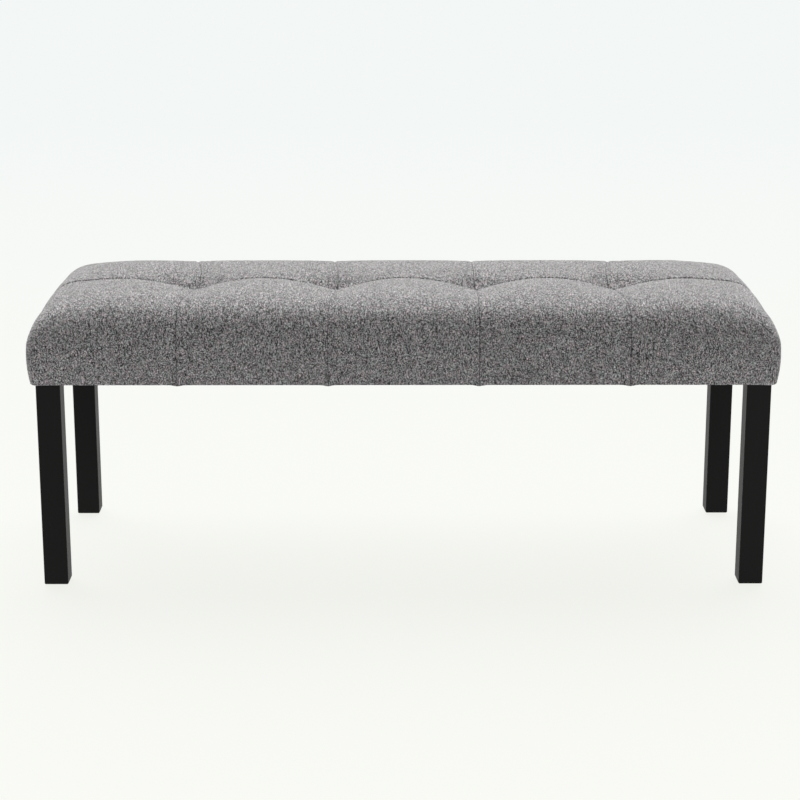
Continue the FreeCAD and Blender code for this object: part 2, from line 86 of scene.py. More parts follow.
# The cushion's top: a roll all round, whose sweep ends where the low crown begins
SHOULDER_RADIUS = 0.060
SHOULDER_SWEEP = math.radians(85)
ROLL_IN = SHOULDER_RADIUS * (1 - math.cos(SHOULDER_SWEEP))
ROLL_UP = SHOULDER_RADIUS * math.sin(SHOULDER_SWEEP)
CROWN_RISE = 0.006
CROWN_RUN = 0.12
CROWN_HEIGHT = ROLL_UP + CROWN_RISE
SHOULDER = CROWN - CROWN_HEIGHT

# The cushion's sides: fullest a little above the hem, which is rolled and turned under
SHOULDER_LEAN = 0.001
HALF_X = LENGTH / 2 - SHOULDER_LEAN
HALF_Y = DEPTH / 2 - SHOULDER_LEAN
CORNER_RADIUS = 0.016
CAP_CORNER_RADIUS = 0.030
FULL_HEIGHT = 0.043
FULLNESS = 0.004
HEM_ROLL = 0.0025
HEM_TURNED = 0.030

# Tufts: how deep they pull the cover in, and how far each one's slope reaches
TUFT_DEPTH = 0.055
TUFT_REACH_X = 0.132
TUFT_POWER_X = 3.4
TUFT_REACH_Y = 0.098
TUFT_POWER_Y = 2.8
DEPTH_LIMIT = 0.031
LIMIT_POWER = 6

# Cross seams: the dip beside them, shallower past the middle of the top and down the sides
CROSS_DEPTH = 0.0050
CROSS_WIDTH = 0.0255
CROSS_FADE_FROM = 0.06
CROSS_FADE_RUN = 0.08
CROSS_FADED_SHARE = 0.2

# The arc down the side from the cap beyond which no seam presses the cover in
PRESSED_RUN = SHOULDER - HEM + SHOULDER_RADIUS

# The lengthwise seam's dip, which eases off at both ends
CENTRE_DEPTH = 0.0030
CENTRE_WIDTH = 0.016
CENTRE_EASE = 0.6
CENTRE_EASE_RUN = 0.03

# How far each tuft stands off its seam's line, and the stretch over which the seam leans towards it
TUFT_SHIFTS = (0.0155, 0.0094, 0.0003, -0.0134)
LEAN_NEAR = 0.055
LEAN_FAR = 0.185
LEAN_WIDTH = 0.070

# The narrow grooves of the sewing itself
GROOVE_DEPTH = 0.0022
GROOVE_WIDTH = 0.0026
GROOVE_FADE = 0.004
CENTRE_GROOVE_DEPTH = 0.0050
CENTRE_GROOVE_WIDTH = 0.0032
LEANING_BAND = 0.01

# Small bulges at the hem, below each seam and at the corners
HEM_BULGE = 0.0020
HEM_BULGE_WIDTH = 0.007
CORNER_BULGE_WIDTH = 0.02
BULGE_REACH = 0.012

# The mesh's spacing
STEP = 0.0053
BESIDE_SEAM = (0.0, 0.0025, 0.006, 0.0105)
STEADY_RUN = 0.02
ROLL_ROWS = 18
SIDE_ROWS = 12
HEM_ROLL_ROWS = 3
UNDER_ROWS = 3

# Room for rounding where levels are compared, and the least length that is divided by
TOLERANCE = 1e-6
LEAST = 1e-9

# The cloth simulation, and how full the finished cushion is
PRESSURE = 4.0
SIM_FRAMES = 20
SIM_CAP = 0.010

# The dust cover and its staples
COVER_SAG = 0.0025
COVER_STEP = 0.02
LEG_ROOM = 0.0015
STAPLE_SPACING = 0.055
STAPLE_WIDTH = 0.010
STAPLE_WIRE = 0.0011
STAPLE_RISE = 0.0006
STAPLE_MARGIN = 0.006
STAPLE_END = 0.02
BOX_FACES = ((0, 3, 2, 1), (4, 5, 6, 7), (0, 1, 5, 4), (1, 2, 6, 5), (2, 3, 7, 6), (3, 0, 4, 7))

# The cover's weave: a yarn's width in metres, and the stretches of one shade in yarn widths
YARN = 0.00092
WARP_RUN = 2.1
WEFT_RUN = 1.0
STREAK_RUN = 6.0
STREAK_SHARE = 0.18
YARN_SHADES = ((0.24, 0.018), (0.48, 0.105), (0.62, 0.385), (0.78, 0.93))
WANDER = 0.0015
WANDER_SCALE = 22
TINTS = ((0.40, (1.07, 0.965, 0.99)), (0.60, (0.965, 1.01, 0.99)))
TINT_SCALE = 90

# Where the weave's random numbers are drawn, so that its yarns don't repeat one another
WARP_SEED = 7.0
WEFT_SEED = 3.0
STREAK_SEED = 11.0
WEFT_OFFSET = 4096.0
STREAK_OFFSET = 8192.0

# Painted shade: the dark line in the fold of each seam, a colour that stands in for the shade in the seam's
# groove
SEAM_SHADOW_COLOUR = 0.02
SEAM_SHADOW_LINE = 0.0012
SEAM_PAINTED_SHADE = 0.78
CENTRE_SHADOW_LINE = 0.0046
CENTRE_PAINTED_SHADE = 0.85

# The camera
CAMERA_PLACE = (-0.014, -3.147, 1.152)
CAMERA_PITCH = 0.248
CAMERA_TURN = -0.0028
SENSOR_WIDTH = 36
FOCAL_PIXELS = 1979
PICTURE_PIXELS = 800
SHIFT_PIXELS = 60
CLIP_END = 100

# The studio's floor, backdrop and lights
FLOOR_SPAN = 60.0
FLOOR_BOUNCE = 0.7
FLOOR_SHADOW = 0.09
FLOOR_GLOW = (0.845, 0.854, 0.811)
FAR_FLOOR_GLOW = (0.789, 0.819, 0.810)
FAR_FLOOR = 5.0
BACKDROP_WHITE = (0.898, 0.932, 0.925)
FILL_LIGHT = 0.155
SUN_STRENGTH = 4.15
SUN_ANGLE = math.radians(70)
SUN_TILT = math.radians(37)


# Small helpers


def added(name, data):
    """A new object in the scene."""
    thing = bpy.data.objects.new(name, data)
    bpy.context.scene.collection.objects.link(thing)
    return thing


def points_of(mesh):
    """The places of a mesh's vertices, one row each."""
    places = np.zeros(len(mesh.vertices) * 3)
    mesh.vertices.foreach_get("co", places)
    return places.reshape(-1, 3)


def normals_of(mesh):
    """The normals at a mesh's vertices, one row each."""
    normals = np.zeros(len(mesh.vertices) * 3)
    mesh.vertex_normals.foreach_get("vector", normals)
    return normals.reshape(-1, 3)


def set_points(mesh, places):
    """Moves a mesh's vertices to new places."""
    mesh.vertices.foreach_set("co", places.astype(np.float32).ravel())
    mesh.update()


def smooth(share):
    """0 below 0, 1 above 1, and an S-curve between."""
    share = np.clip(share, 0, 1)
    return share * share * (3 - 2 * share)


def bell(off, width):
    """1 at a line, falling away on both sides of it."""
    return np.exp(-((off / width) ** 2))


# The cushion's form


def roll_height(beyond, run):
    """Height above the shoulder at a distance in from the side: the roll, then the crown over a run."""
    over = np.clip(SHOULDER_RADIUS - beyond, 0, SHOULDER_RADIUS)
    rolled = np.sqrt(SHOULDER_RADIUS**2 - over**2)
    left = np.clip(1 - (beyond - ROLL_IN) / run, 0, 1)
    crowned = ROLL_UP + CROWN_RISE * (1 - left**2)
    return np.where(beyond < ROLL_IN, rolled, crowned)


def dome(x, y):
    """Height of the cushion's top over a place, without its seams."""
    past = np.clip(np.abs(x) - HALF_X + CORNER_RADIUS, 0, CORNER_RADIUS)
    narrow = CORNER_RADIUS - np.sqrt(CORNER_RADIUS**2 - past**2)
    across = roll_height(np.maximum(HALF_Y - np.abs(y) - narrow, 0), CROWN_RUN)
    along = roll_height(np.maximum(HALF_X - np.abs(x), 0), PITCH / 2)
    return SHOULDER + across * along / CROWN_HEIGHT


def pressed(x, y, arc):
    """How deep the quilting presses the cover in at places that are an arc down the side from the cap."""
    tuft_y = np.clip(1 - np.abs(y) / TUFT_REACH_Y, 0, 1) ** TUFT_POWER_Y * (arc <= 0)
    faded = (1 - CROSS_FADED_SHARE) * smooth((np.abs(y) - CROSS_FADE_FROM) / CROSS_FADE_RUN)
    cross_share = np.where(arc > 0, CROSS_FADED_SHARE, 1 - faded)
    near_end = np.clip((np.abs(x) - HALF_X + SHOULDER_RADIUS) / CENTRE_EASE_RUN, 0, 1)
    depth = CENTRE_DEPTH * (1 - CENTRE_EASE * near_end) * bell(y, CENTRE_WIDTH)
    for seam in SEAMS:
        off = np.abs(x - seam)
        depth += TUFT_DEPTH * tuft_y * np.clip(1 - off / TUFT_REACH_X, 0, 1) ** TUFT_POWER_X
        depth += CROSS_DEPTH * cross_share * bell(off, CROSS_WIDTH)
    return depth / (1 + (depth / DEPTH_LIMIT) ** LIMIT_POWER) ** (1 / LIMIT_POWER)


def leaned(x, y):
    """How far the seams' lean towards their tufts carries a place along the bench."""
    near = smooth((LEAN_FAR - np.abs(y)) / (LEAN_FAR - LEAN_NEAR))
    return near * sum(shift * bell(x - seam, LEAN_WIDTH) for seam, shift in zip(SEAMS, TUFT_SHIFTS))


def stations(seams, end):
    """Places from -end to end, close together beside each seam and evenly spaced elsewhere."""
    stops = [-end, *seams, end]
    places = []
    for left, right in zip(stops, stops[1:]):
        start = [left + off for off in (BESIDE_SEAM if left in seams else (0.0,))]
        stop = [right - off for off in (BESIDE_SEAM if right in seams else (0.0,))][::-1]
        count = max(1, round((stop[0] - start[-1]) / STEP))
        middle = np.linspace(start[-1], stop[0], count + 1)[1:-1]
        places += start + list(middle) + stop[:-1]
    return np.array(places + [end])


def ring_side(columns, cap_half, half, other, radius, steady):
    """Where a cap's columns meet one side of a ring, which reaches round to the middle of its corners.

    Gives each one's place along the side and out from the middle, and its arc from the middle of the side.
    Columns within steady of the middle run straight down, and the others spread to fill the side.
    """
    total = half - radius + radius * math.pi / 4
    run = np.abs(columns)
    spread = steady + (run - steady) * (total - steady) / (cap_half - steady)
    arc = np.where(run < steady, run, spread)
    turn = np.clip((arc - half + radius) / radius, 0, math.pi / 4)
    along = np.minimum(arc, half - radius) + radius * np.sin(turn)
    out = other - radius * (1 - np.cos(turn))
    return np.sign(columns) * along, out, np.sign(columns) * arc


def outward(x, y, half_x, half_y, radius):
    """The directions, in plan, in which places on a ring face outwards."""
    core_x = np.clip(x, radius - half_x, half_x - radius)
    core_y = np.clip(y, radius - half_y, half_y - radius)
    away = np.stack([x - core_x, y - core_y], -1)
    return away / np.maximum(np.linalg.norm(away, axis=1, keepdims=True), LEAST)


def skirt_profile():
    """The skirt's rings from the cap down: (inset from the side, level or None, corner radius, arc)."""
    rings = []
    for row in range(1, ROLL_ROWS + 1):
        turn = math.pi / 2 * (1 - row / ROLL_ROWS)
        inset = SHOULDER_RADIUS * (1 - math.cos(turn))
        radius = CORNER_RADIUS + (CAP_CORNER_RADIUS - CORNER_RADIUS) * (1 - math.cos(turn))
        rings.append((inset, None, radius, SHOULDER_RADIUS * (math.pi / 2 - turn)))
    arc = SHOULDER_RADIUS * math.pi / 2
    low = HEM + HEM_ROLL
    full = HEM + FULL_HEIGHT
    for row in range(1, SIDE_ROWS + 1):
        z = SHOULDER + (low - SHOULDER) * row / SIDE_ROWS
        reach = (SHOULDER - full) if z > full else (full - HEM)
        drawn = (SHOULDER_LEAN if z > full else FULLNESS) * ((z - full) / reach) ** 2
        rings.append((drawn - SHOULDER_LEAN, z, CORNER_RADIUS, arc + SHOULDER - z))
    arc += SHOULDER - low
    side = rings[-1][0]
    for row in range(1, HEM_ROLL_ROWS + 1):
        turn = math.pi / 2 * row / HEM_ROLL_ROWS
        inset = side + HEM_ROLL * (1 - math.cos(turn))
        rings.append((inset, low - HEM_ROLL * math.sin(turn), CORNER_RADIUS, arc + HEM_ROLL * turn))
    side = rings[-1][0]
    arc = rings[-1][3]
    for row in range(1, UNDER_ROWS + 1):
        run = HEM_TURNED * row / UNDER_ROWS
        rings.append((side + run, HEM, CORNER_RADIUS, arc + run))
    return rings


def skirt_places(x, y, half_x, half_y, radius, level, arc):
    """Places of a ring's vertices on one side, pressed in at the seams."""
    z = dome(x, y) if level is None else np.full(len(x), level)
    depth = pressed(x, y, arc) * (arc < PRESSED_RUN)
    downward = math.sin(max(0.0, math.pi / 2 - arc / SHOULDER_RADIUS))
    places = np.stack([x, y, z - depth * downward], -1)
    inward = -outward(x, y, half_x, half_y, radius)
    places[:, :2] += inward * (depth * math.sqrt(1 - downward**2))[:, None]
    if level is None:
        places[:, 0] += leaned(x, y)
    return places


class Cushion:
    """The cushion's mesh: a cap of rows and columns, and a skirt of rings from it down to the turned hem."""

    def __init__(self):
        self.cap_x = LENGTH / 2 - SHOULDER_RADIUS
        self.cap_y = DEPTH / 2 - SHOULDER_RADIUS
        self.xs = stations(SEAMS, self.cap_x)
        self.ys = stations([0.0], self.cap_y)
        self.places = []
        self.faces = []
        self.cloth = []
        self.rings = []
        self.add_cap()
        self.add_skirt()

    def ring(self, half_x, half_y, radius):
        """A ring's four sides, front, right, rear and left: plan places and arcs, with corners shared."""
        steady_x = SEAMS[-1] + STEADY_RUN
        x, out_y, arc_x = ring_side(self.xs, self.cap_x, half_x, half_y, radius, steady_x)
        y, out_x, arc_y = ring_side(self.ys, self.cap_y, half_y, half_x, radius, STEADY_RUN)
        front = (x, -out_y, arc_x)
        right = (out_x, y, arc_y)
        rear = (x[::-1], out_y[::-1], arc_x[::-1])
        left = (-out_x[::-1], y[::-1], arc_y[::-1])
        return front, right, rear, left

    def add_face(self, numbers, cloth):
        """A face, with its corners' places on the flat cloth."""
        self.faces.append([int(number) for number in numbers])
        self.cloth.append(cloth)

    def add_cap(self):
        """The top's grid, filled in between the four sides of its rounded border."""
        front, right, rear, left = self.ring(self.cap_x, self.cap_y, CAP_CORNER_RADIUS)
        u = ((self.xs + self.cap_x) / (2 * self.cap_x))[:, None]
        v = ((self.ys + self.cap_y) / (2 * self.cap_y))[None, :]
        plan = []
        for axis in (0, 1):
            low, high = front[axis][:, None], rear[axis][::-1][:, None]
            near, far = left[axis][::-1][None, :], right[axis][None, :]
            low_corners = (1 - u) * (1 - v) * low[0] + u * (1 - v) * low[-1]
            high_corners = (1 - u) * v * high[0] + u * v * high[-1]
            sides = (1 - v) * low + v * high + (1 - u) * near + u * far
            plan.append(sides - low_corners - high_corners)
        x, y = plan
        z = dome(x, y) - pressed(x, y, 0.0)
        self.places += list(np.stack([x + leaned(x, y), y, z], -1).reshape(-1, 3))
        self.cap = np.arange(x.size).reshape(x.shape)
        for i in range(len(self.xs) - 1):
            for j in range(len(self.ys) - 1):
                corners = [self.cap[place] for place in ((i, j), (i + 1, j), (i + 1, j + 1), (i, j + 1))]
                self.add_face(corners, [(x.flat[number], y.flat[number]) for number in corners])

    def add_skirt(self):
        """Rings of quads round the cap, each with as many vertices as the cap's border."""
        cap_sides = self.ring(self.cap_x, self.cap_y, CAP_CORNER_RADIUS)
        above = [self.cap[:, 0], self.cap[-1, :], self.cap[::-1, -1], self.cap[0, ::-1]]
        above_cloth = [self.cloth_places(n, side, 0.0) for n, side in enumerate(cap_sides)]
        for inset, level, radius, arc in skirt_profile():
            half_x, half_y = HALF_X - inset, HALF_Y - inset
            sides = self.ring(half_x, half_y, radius)
            first = len(self.places)
            count = sum(len(side[0]) - 1 for side in sides)
            start = 0
            below = []
            for x, y, _ in sides:
                below.append([first + (start + k) % count for k in range(len(x))])
                self.places += list(skirt_places(x[:-1], y[:-1], half_x, half_y, radius, level, arc))
                start += len(x) - 1
            below_cloth = [self.cloth_places(n, side, arc) for n, side in enumerate(sides)]
            for top, bottom, top_cloth, bottom_cloth in zip(above, below, above_cloth, below_cloth):
                for k in range(len(top) - 1):
                    cloth = [top_cloth[k], bottom_cloth[k], bottom_cloth[k + 1], top_cloth[k + 1]]
                    self.add_face((top[k], bottom[k], bottom[k + 1], top[k + 1]), cloth)
            self.rings.append((below, level))
            above, above_cloth = below, below_cloth

    def cloth_places(self, number, side, arc):
        """Where a ring's vertices lie on the flat cloth, for one of its sides."""
        out = (-self.cap_y - arc, self.cap_x + arc, self.cap_y + arc, -self.cap_x - arc)[number]
        return [(run, out) if number in (0, 2) else (out, run) for run in side[2]]

    def held(self):
        """Vertices that the sewing and the hem hold: the seams, and what is below the cushion's sides."""
        crossings = [int(np.argmin(np.abs(self.xs - seam))) for seam in SEAMS]
        centre = int(np.argmin(np.abs(self.ys)))
        numbers = {int(number) for column in crossings for number in self.cap[column, :]}
        numbers |= {int(number) for number in self.cap[:, centre]}
        for (front, right, rear, left), level in self.rings:
            numbers |= {front[column] for column in crossings}
            numbers |= {rear[len(self.xs) - 1 - column] for column in crossings}
            numbers |= {right[centre], left[len(self.ys) - 1 - centre]}
            if level is not None and level <= HEM + HEM_ROLL + TOLERANCE:
                numbers |= {*front, *right, *rear, *left}
        return sorted(numbers)

    def build(self):
        """The cushion as a Blender object, its flat cloth kept as a UV map in metres."""
        mesh = bpy.data.meshes.new("cushion")
        mesh.from_pydata([tuple(float(part) for part in place) for place in self.places], [], self.faces)
        flat = np.array([place for face in self.cloth for place in face], np.float32)
        mesh.uv_layers.new(name="cloth").data.foreach_set("uv", flat.ravel())
        for polygon in mesh.polygons:
            polygon.use_smooth = True
        mesh.update()
        return added("cushion", mesh)


def inflate(piece, held):
    """Cloth held at its seams and hem and blown up from inside, so that the panels fill between them."""
    before = points_of(piece.data)
    piece.vertex_groups.new(name="held").add(held, 1.0, "REPLACE")
    cloth = piece.modifiers.new("Cloth", "CLOTH")
    cloth.settings.quality = 5
    cloth.settings.mass = 0.4
    cloth.settings.tension_stiffness = 15
    cloth.settings.compression_stiffness = 15
    cloth.settings.shear_stiffness = 5
    cloth.settings.bending_stiffness = 0.6
    cloth.settings.use_pressure = True
    cloth.settings.uniform_pressure_force = PRESSURE
    cloth.settings.vertex_group_mass = "held"
    cloth.settings.pin_stiffness = 1
    cloth.settings.effector_weights.gravity = 0
    cloth.collision_settings.use_collision = False
    cloth.point_cache.frame_start = 1
    cloth.point_cache.frame_end = SIM_FRAMES
    scene = bpy.context.scene
    for number in range(1, SIM_FRAMES + 1):
        scene.frame_set(number)
    shown = piece.evaluated_get(bpy.context.evaluated_depsgraph_get())
    move = points_of(shown.data) - before
    piece.modifiers.remove(cloth)
    scene.frame_set(1)
    far = np.linalg.norm(move, axis=1)
    move *= (np.minimum(far, SIM_CAP) / np.maximum(far, LEAST))[:, None]
    set_points(piece.data, before + move)


def subdivide(piece):
    """One subdivision, applied to the mesh."""
    modifier = piece.modifiers.new("Subdivision", "SUBSURF")
    modifier.levels = 1
    modifier.render_levels = 1
    graph = bpy.context.evaluated_depsgraph_get()
    shown = piece.evaluated_get(graph)
    mesh = bpy.data.meshes.new_from_object(shown, preserve_all_data_layers=True, depsgraph=graph)
    piece.modifiers.clear()
    piece.data = mesh


def sew_grooves(piece):
    """The narrow grooves of the seams and the bulges below them, made after the padding has its form."""
    places, normals = points_of(piece.data), normals_of(piece.data)
    x, y, z = places.T
    on_top = z > SHOULDER - LEANING_BAND
    depth = CENTRE_GROOVE_DEPTH * bell(y, CENTRE_GROOVE_WIDTH)
    corner = np.hypot(HALF_X - np.abs(x), HALF_Y - np.abs(y))
    bulge = bell(corner, CORNER_BULGE_WIDTH)
    for seam in SEAMS:
        off = x - seam - leaned(np.full_like(x, seam), y) * on_top
        depth = np.maximum(depth, GROOVE_DEPTH * bell(off, GROOVE_WIDTH))
        bulge = np.maximum(bulge, bell(off, HEM_BULGE_WIDTH))
    outside = (np.abs(y) > HALF_Y - BULGE_REACH) | (np.abs(x) > HALF_X - BULGE_REACH)
    low_down = 1 - np.clip((z - HEM) / BULGE_REACH, 0, 1)
    places = places - normals * (depth * np.clip((z - HEM) / GROOVE_FADE, 0, 1))[:, None]
    places[:, 2] -= HEM_BULGE * bulge * low_down**2 * outside
    set_points(piece.data, places)


def close_below(piece):
    """Closes the cushion's underside with one flat face."""
    work = bmesh.new()
    work.from_mesh(piece.data)
    border = [edge for edge in work.edges if edge.is_boundary]
    made = bmesh.ops.contextual_create(work, geom=border)
    bmesh.ops.triangulate(work, faces=made["faces"])
    bmesh.ops.recalc_face_normals(work, faces=work.faces)
    work.to_mesh(piece.data)
    work.free()


def cushion():
    """The padded seat, in place of the CAD's cover, wadding and foam."""
    form = Cushion()
    piece = form.build()
    inflate(piece, form.held())
    subdivide(piece)
    sew_grooves(piece)
    close_below(piece)
    piece.data.materials.append(cover_cloth())
    covers = [name for name in frame["nodes"] if "_panel_" in name]
    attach(piece, "root")
    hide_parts(*covers, "wadding", "seat_foam")


# Below the seat


def spaced(stops, step):
    """Places through all the stops, no further apart than a step."""
    places = []
    for low, high in zip(stops, stops[1:]):
        count = max(1, math.ceil((high - low) / step))
        places += list(np.linspace(low, high, count + 1)[:-1])
    return places + [stops[-1]]


def solid_sheet(name, xs, ys, kept, underside, thick):
    """A closed sheet over the kept cells of a grid, with its underside's height a function of the place."""
    work = bmesh.new()
    corners = {}
    for i, j in kept:
        cell = []
        for place in ((i, j), (i + 1, j), (i + 1, j + 1), (i, j + 1)):
            if place not in corners:
                x, y = xs[place[0]], ys[place[1]]
                corners[place] = work.verts.new((x, y, underside(x, y)))
            cell.append(corners[place])
        work.faces.new(cell[::-1])
    made = bmesh.ops.extrude_face_region(work, geom=list(work.faces), use_keep_orig=True)
    for part in made["geom"]:
        if isinstance(part, bmesh.types.BMVert):
            part.co.z += thick
    bmesh.ops.recalc_face_normals(work, faces=work.faces)
    mesh = bpy.data.meshes.new(name)
    work.to_mesh(mesh)
    work.free()
    for polygon in mesh.polygons:
        polygon.use_smooth = abs(polygon.normal.z) > 0.5
    return added(name, mesh)


def dust_cover(felt, wire):
    """The black cloth below the seat, cut out round the legs and sagging a little between its staples."""
    low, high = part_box("dust_cover")
    leg_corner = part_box("leg_front_left")[1]
    notch_x = -leg_corner.x - LEG_ROOM
    notch_y = -leg_corner.y - LEG_ROOM
    xs = spaced([low.x, -notch_x, notch_x, high.x], COVER_STEP)
    ys = spaced([low.y, -notch_y, notch_y, high.y], COVER_STEP)
    kept = []
    for i in range(len(xs) - 1):
        for j in range(len(ys) - 1):
            middle_x = (xs[i] + xs[i + 1]) / 2
            middle_y = (ys[j] + ys[j + 1]) / 2
            if abs(middle_x) < notch_x or abs(middle_y) < notch_y:
                kept.append((i, j))

    def underside(x, y):
        """The sagging height of the sheet's lower face."""
        across = max(0.0, 1 - (y / high.y) ** 2)
        along = max(0.0, 1 - (abs(x) / high.x) ** 6)
        return low.z - COVER_SAG * across * along

    piece = solid_sheet("dust_cloth_below", xs, ys, kept, underside, high.z - low.z)
    piece.data.materials.append(felt)
    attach(piece, "root")
    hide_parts("dust_cover")
    staples(low, high, notch_x, notch_y, wire)


def staples(low, high, notch_x, notch_y, wire):
    """Wire staples along the dust cover's edges, between its notches."""
    edge_x = high.x - STAPLE_MARGIN
    edge_y = high.y - STAPLE_MARGIN
    along = np.linspace(STAPLE_END - notch_x, notch_x - STAPLE_END, round(2 * notch_x / STAPLE_SPACING))
    across = np.linspace(STAPLE_END - notch_y, notch_y - STAPLE_END, round(2 * notch_y / STAPLE_SPACING))
    crowns = [(x, side * edge_y, STAPLE_WIDTH, STAPLE_WIRE) for side in (-1, 1) for x in along]
    crowns += [(side * edge_x, y, STAPLE_WIRE, STAPLE_WIDTH) for side in (-1, 1) for y in across]
    places, faces = [], []
    for x, y, wide, deep in crowns:
        first = len(places)
        for z in (low.z - STAPLE_RISE, (low.z + high.z) / 2):
            for side_x, side_y in ((-1, -1), (1, -1), (1, 1), (-1, 1)):
                places.append((x + side_x * wide / 2, y + side_y * deep / 2, z))
        faces += [[first + corner for corner in face] for face in BOX_FACES]
    mesh = bpy.data.meshes.new("staples")
    mesh.from_pydata(places, [], faces)
    mesh.materials.append(wire)
    piece = added("staples", mesh)
    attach(piece, "root")


# Finishes


def rgba(colour):
    """A colour with its alpha, from its three parts or from one grey."""
    return (*colour, 1) if isinstance(colour, tuple) else (colour, colour, colour, 1)


class Nodes:
    """A node tree while its nodes are made and joined."""

    def __init__(self, tree):
        self.tree = tree

    def give(self, node, inputs):
        """Joins sockets to a node's inputs, and sets the inputs that get plain values."""
        for key, given in inputs.items():
            key = key.replace("_", " ") if isinstance(key, str) else key
            if isinstance(given, bpy.types.NodeSocket):
                self.tree.links.new(given, node.inputs[key])
            else:
                node.inputs[key].default_value = given

    def node(self, kind, inputs=None, **settings):
        """A new node with its inputs and settings."""
        made = self.tree.nodes.new(f"ShaderNode{kind}")
        for name, given in settings.items():
            setattr(made, name, given)
        self.give(made, inputs or {})
        return made

    def math(self, operation, *given):
        """The outcome of a sum."""
        return self.node("Math", dict(enumerate(given)), operation=operation).outputs[0]

    def ramp(self, factor, *stops):
        """A colour ramp, its stops (place, grey or colour)."""
        made = self.node("ValToRGB", {"Fac": factor})
        elements = made.color_ramp.elements
        while len(elements) < len(stops):
            elements.new(0.5)
        for element, (place, colour) in zip(elements, stops):
            element.position = place
            element.color = rgba(colour)
        return made.outputs["Color"]

    def mix(self, factor, first, second, blend="MIX"):
        """Two colours mixed, or blended in another way."""
        made = self.node("Mix", data_type="RGBA", blend_type=blend)
        self.give(made, {0: factor, 6: first, 7: second})
        return made.outputs[2]

    def noise(self, vector, scale, detail, roughness=0.5):
        """Cloudy noise, about 0 to 1."""
        inputs = {"Vector": vector, "Scale": scale, "Detail": detail, "Roughness": roughness}
        return self.node("TexNoise", inputs).outputs["Fac"]

    def random(self, x, y):
        """A random number for each pair of whole numbers."""
        pair = self.node("CombineXYZ", {0: x, 1: y}).outputs[0]
        return self.node("TexWhiteNoise", {"Vector": pair}, noise_dimensions="2D").outputs["Value"]

    def place(self):
        """The place on the object, in metres."""
        return self.node("TexCoord").outputs["Object"]

    def stretched(self, vector, scale):
        """A place with its axes scaled."""
        return self.node("Mapping", {"Vector": vector, "Scale": scale}).outputs[0]

    def bump(self, height, distance, strength=0.5):
        """The normal of a surface with small ups and downs."""
        return self.node("Bump", {"Height": height, "Distance": distance, "Strength": strength}).outputs[0]

    def show(self, output, lighting, seen):
        """Ends the tree: one shader is seen directly, and another lights things."""
        path = self.node("LightPath")
        direct = self.math("MAXIMUM", path.outputs["Is Camera Ray"], path.outputs["Is Glossy Ray"])
        direct = self.math("MAXIMUM", direct, path.outputs["Is Transmission Ray"])
        chosen = self.node("MixShader", {0: direct, 1: lighting.outputs[0], 2: seen.outputs[0]})
        self.tree.links.new(chosen.outputs[0], self.tree.nodes[output].inputs["Surface"])


class Finish(Nodes):
    """A material while its nodes are made and joined."""

    def __init__(self, name, **shader):
        self.material = bpy.data.materials.new(name)
        self.material.use_nodes = True
        super().__init__(self.material.node_tree)
        self.shader = self.tree.nodes["Principled BSDF"]
        self.give(self.shader, shader)


def stretch_number(f, along, line, seed, run):
    """Which stretch of its yarn a place is in, where each yarn's stretches start at random."""
    start = f.math("MULTIPLY", f.random(line, seed), run)
    return f.math("FLOOR", f.math("DIVIDE", f.math("ADD", along, start), run))


def yarn_shade(f, u, v):
    """A melange yarn's shade, 0 to 1: whichever of warp and weft is on top, with streaks along the warp."""
    column = f.math("FLOOR", u)
    row = f.math("FLOOR", v)
    warp = f.random(column, stretch_number(f, v, column, WARP_SEED, WARP_RUN))
    weft_stretch = stretch_number(f, u, row, WEFT_SEED, WEFT_RUN)
    weft = f.random(weft_stretch, f.math("ADD", row, WEFT_OFFSET))
    weft_over = f.math("MODULO", f.math("ABSOLUTE", f.math("ADD", column, row)), 2.0)
    warp_over = f.math("SUBTRACT", 1.0, weft_over)
    thread = f.math("ADD", f.math("MULTIPLY", warp, warp_over), f.math("MULTIPLY", weft, weft_over))
    streak_stretch = stretch_number(f, v, column, STREAK_SEED, STREAK_RUN)
    streak = f.random(f.math("ADD", column, STREAK_OFFSET), streak_stretch)
    streaked = f.math("MULTIPLY", streak, STREAK_SHARE)
    return f.math("ADD", f.math("MULTIPLY", thread, 1 - STREAK_SHARE), streaked)


def painted_seam_shade(f, x, y):
    """How much painted shade darkens the fold of a seam at a place on the flat cloth, and 0 beside the
    seams.
    """
    halfway = f.math("ADD", f.math("DIVIDE", x, PITCH), COLUMNS / 2 + 0.5)
    beside = f.math("ABSOLUTE", f.math("SUBTRACT", f.math("FRACT", halfway), 0.5))
    cross = f.math("SUBTRACT", 1.0, f.math("MULTIPLY", beside, PITCH / SEAM_SHADOW_LINE))
    inner = f.math("LESS_THAN", f.math("ABSOLUTE", x), (COLUMNS / 2 - 0.5) * PITCH)
    seam_shadow = f.math("MULTIPLY", f.math("MULTIPLY", inner, cross), SEAM_PAINTED_SHADE)
    centre = f.math("SUBTRACT", 1.0, f.math("DIVIDE", f.math("ABSOLUTE", y), CENTRE_SHADOW_LINE / 2))
    centre_shadow = f.math("MULTIPLY", centre, CENTRE_PAINTED_SHADE)
    return f.math("MAXIMUM", f.math("MAXIMUM", seam_shadow, centre_shadow), 0.0)


